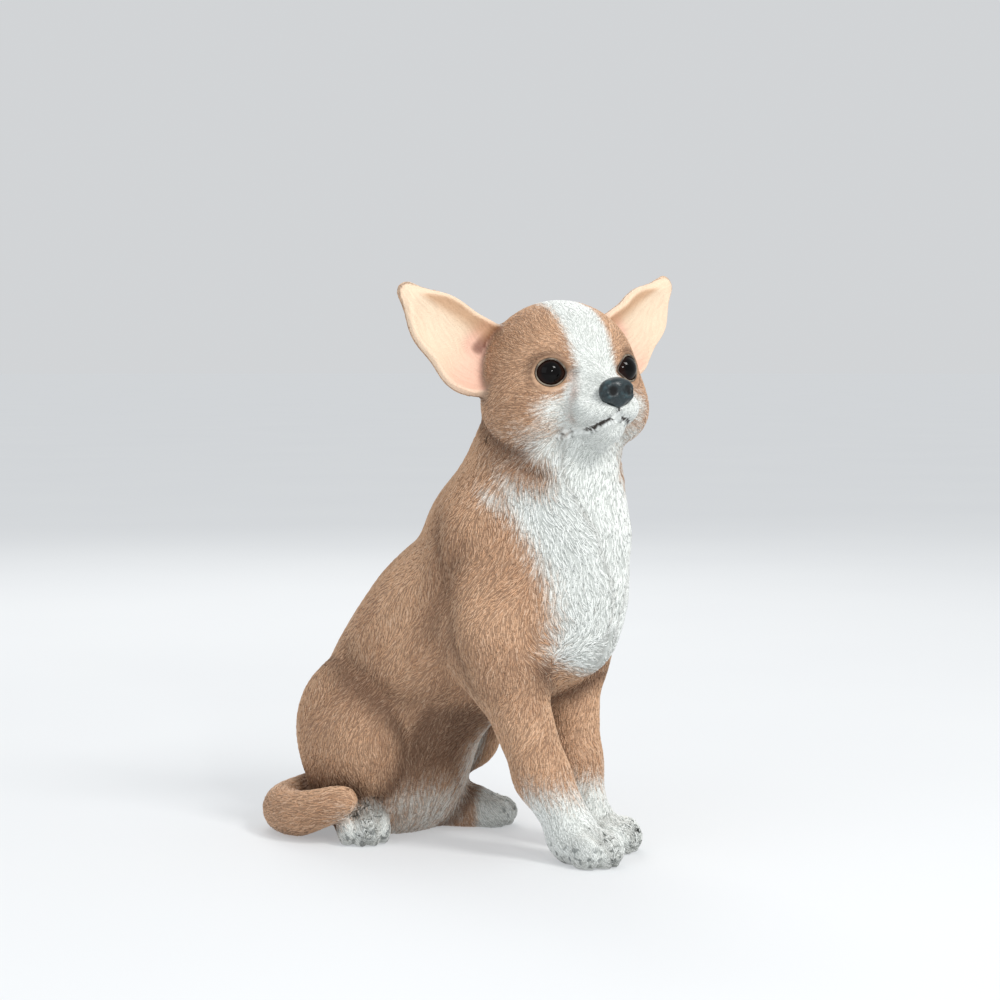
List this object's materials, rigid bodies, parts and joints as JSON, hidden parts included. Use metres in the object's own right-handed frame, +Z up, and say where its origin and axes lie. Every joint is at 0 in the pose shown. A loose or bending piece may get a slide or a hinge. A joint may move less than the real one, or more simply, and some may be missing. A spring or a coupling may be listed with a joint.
{
  "type": "chihuahua puppy statue",
  "caption": "Sitting short-coated puppy statue with large upright ears, head turned to one side and a tail curled round one hip.",
  "frame": {"origin": "on the floor under the middle of the statue's bounding box", "axes": "+Z up, the body faces -Y, the dog's left side is +X; the head is turned 24 degrees towards -X"},
  "size_m": [0.1462, 0.2114, 0.2821],
  "materials": {
    "resin_coat": "hand-painted cast resin with carved hair, matte",
    "nose_paint": "semi-gloss black paint",
    "eye_gloss": "high gloss"
  },
  "bodies": {
    "root": {"torso": "resin_coat", "neck": "resin_coat", "head": "resin_coat", "muzzle": "resin_coat", "jaw": "resin_coat", "nose": "nose_paint", "ear_left": "resin_coat", "ear_right": "resin_coat", "eye_left": "eye_gloss", "eye_right": "eye_gloss", "foreleg_left": "resin_coat", "foreleg_right": "resin_coat", "forepaw_left": "resin_coat", "forepaw_right": "resin_coat", "hindleg_left": "resin_coat", "hindleg_right": "resin_coat", "hindpaw_left": "resin_coat", "hindpaw_right": "resin_coat", "tail": "resin_coat"}
  },
  "joints": []
}
